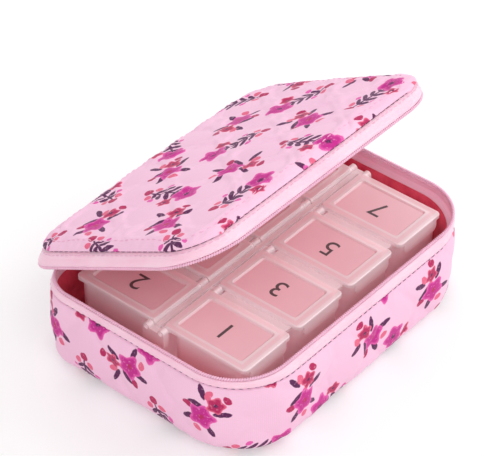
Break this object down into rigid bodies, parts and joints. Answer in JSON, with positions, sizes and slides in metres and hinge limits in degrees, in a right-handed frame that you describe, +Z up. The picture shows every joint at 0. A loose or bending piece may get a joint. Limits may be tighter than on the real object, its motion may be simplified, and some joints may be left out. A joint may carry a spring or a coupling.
{
  "type": "travel pill box",
  "caption": "Quilted zip-around case, half open, that holds a frosted two-row pill organiser with lids hinged on a central spine.",
  "frame": {"origin": "middle of the face that the case stands on", "axes": "+Z up, +X along the case, -Y to the opening side; the cloth hinge is at +Y"},
  "size_m": [0.1394, 0.1088, 0.0936],
  "materials": {
    "printed_cotton": "printed quilted cotton",
    "batting": "polyester batting",
    "lining": "woven lining",
    "zip_tape": "woven tape",
    "zip_coil": "nylon coil",
    "zip_metal": "satin paint",
    "frosted_plastic": "frosted translucent"
  },
  "bodies": {
    "case_base": {"base_bottom_panel": "printed_cotton", "base_side_band": "printed_cotton", "base_padding": "batting", "base_lining": "lining", "base_zip_tape": "zip_tape", "base_zip_coil": "zip_coil", "zip_end_stop": "zip_metal", "base_top_stop": "zip_metal", "hinge_strip_base": "zip_tape"},
    "case_lid": {"lid_panel": "printed_cotton", "lid_padding": "batting", "lid_lining": "lining", "lid_zip_tape": "zip_tape", "lid_zip_coil": "zip_coil", "lid_top_stop": "zip_metal", "hinge_strip_lid": "zip_tape"},
    "organiser": {"pill_tray": "frosted_plastic"},
    "front_lid_1": {"front_lid_1": "frosted_plastic"},
    "front_lid_2": {"front_lid_2": "frosted_plastic"},
    "front_lid_3": {"front_lid_3": "frosted_plastic"},
    "front_lid_4": {"front_lid_4": "frosted_plastic"},
    "back_lid_1": {"back_lid_1": "frosted_plastic"},
    "back_lid_2": {"back_lid_2": "frosted_plastic"},
    "back_lid_3": {"back_lid_3": "frosted_plastic"},
    "back_lid_4": {"back_lid_4": "frosted_plastic"},
    "zip_slider": {"zip_slider": "zip_metal"},
    "zip_pull": {"zip_pull": "zip_metal"}
  },
  "joints": [
    {"name": "case_lid_hinge", "type": "hinge", "parent": "case_base", "child": "case_lid", "pos_m": [0, 0.0523, 0.028], "axis": [-1, 0, 0], "range_deg": [-28.5, 150]},
    {"name": "organiser_lift", "type": "slide", "parent": "case_base", "child": "organiser", "axis": [0, 0, 1], "range_m": [0, 0.012]},
    {"name": "front_lid_1_hinge", "type": "hinge", "parent": "organiser", "child": "front_lid_1", "pos_m": [-0.045, -0.0034, 0.0365], "axis": [-1, 0, 0], "range_deg": [0, 90]},
    {"name": "front_lid_2_hinge", "type": "hinge", "parent": "organiser", "child": "front_lid_2", "pos_m": [-0.015, -0.0034, 0.0365], "axis": [-1, 0, 0], "range_deg": [0, 90]},
    {"name": "front_lid_3_hinge", "type": "hinge", "parent": "organiser", "child": "front_lid_3", "pos_m": [0.015, -0.0034, 0.0365], "axis": [-1, 0, 0], "range_deg": [0, 90]},
    {"name": "front_lid_4_hinge", "type": "hinge", "parent": "organiser", "child": "front_lid_4", "pos_m": [0.045, -0.0034, 0.0365], "axis": [-1, 0, 0], "range_deg": [0, 90]},
    {"name": "back_lid_1_hinge", "type": "hinge", "parent": "organiser", "child": "back_lid_1", "pos_m": [-0.045, 0.0034, 0.0365], "axis": [1, 0, 0], "range_deg": [0, 26]},
    {"name": "back_lid_2_hinge", "type": "hinge", "parent": "organiser", "child": "back_lid_2", "pos_m": [-0.015, 0.0034, 0.0365], "axis": [1, 0, 0], "range_deg": [0, 26]},
    {"name": "back_lid_3_hinge", "type": "hinge", "parent": "organiser", "child": "back_lid_3", "pos_m": [0.015, 0.0034, 0.0365], "axis": [1, 0, 0], "range_deg": [0, 26]},
    {"name": "back_lid_4_hinge", "type": "hinge", "parent": "organiser", "child": "back_lid_4", "pos_m": [0.045, 0.0034, 0.0365], "axis": [1, 0, 0], "range_deg": [0, 26]},
    {"name": "slider_run", "type": "slide", "parent": "case_base", "child": "zip_slider", "axis": [1, 0, 0], "range_m": [0, 0.009]},
    {"name": "pull_swing", "type": "hinge", "parent": "zip_slider", "child": "zip_pull", "pos_m": [0.03035, 0.0529, 0.0401], "axis": [1, 0, 0], "range_deg": [0, 90]}
  ]
}
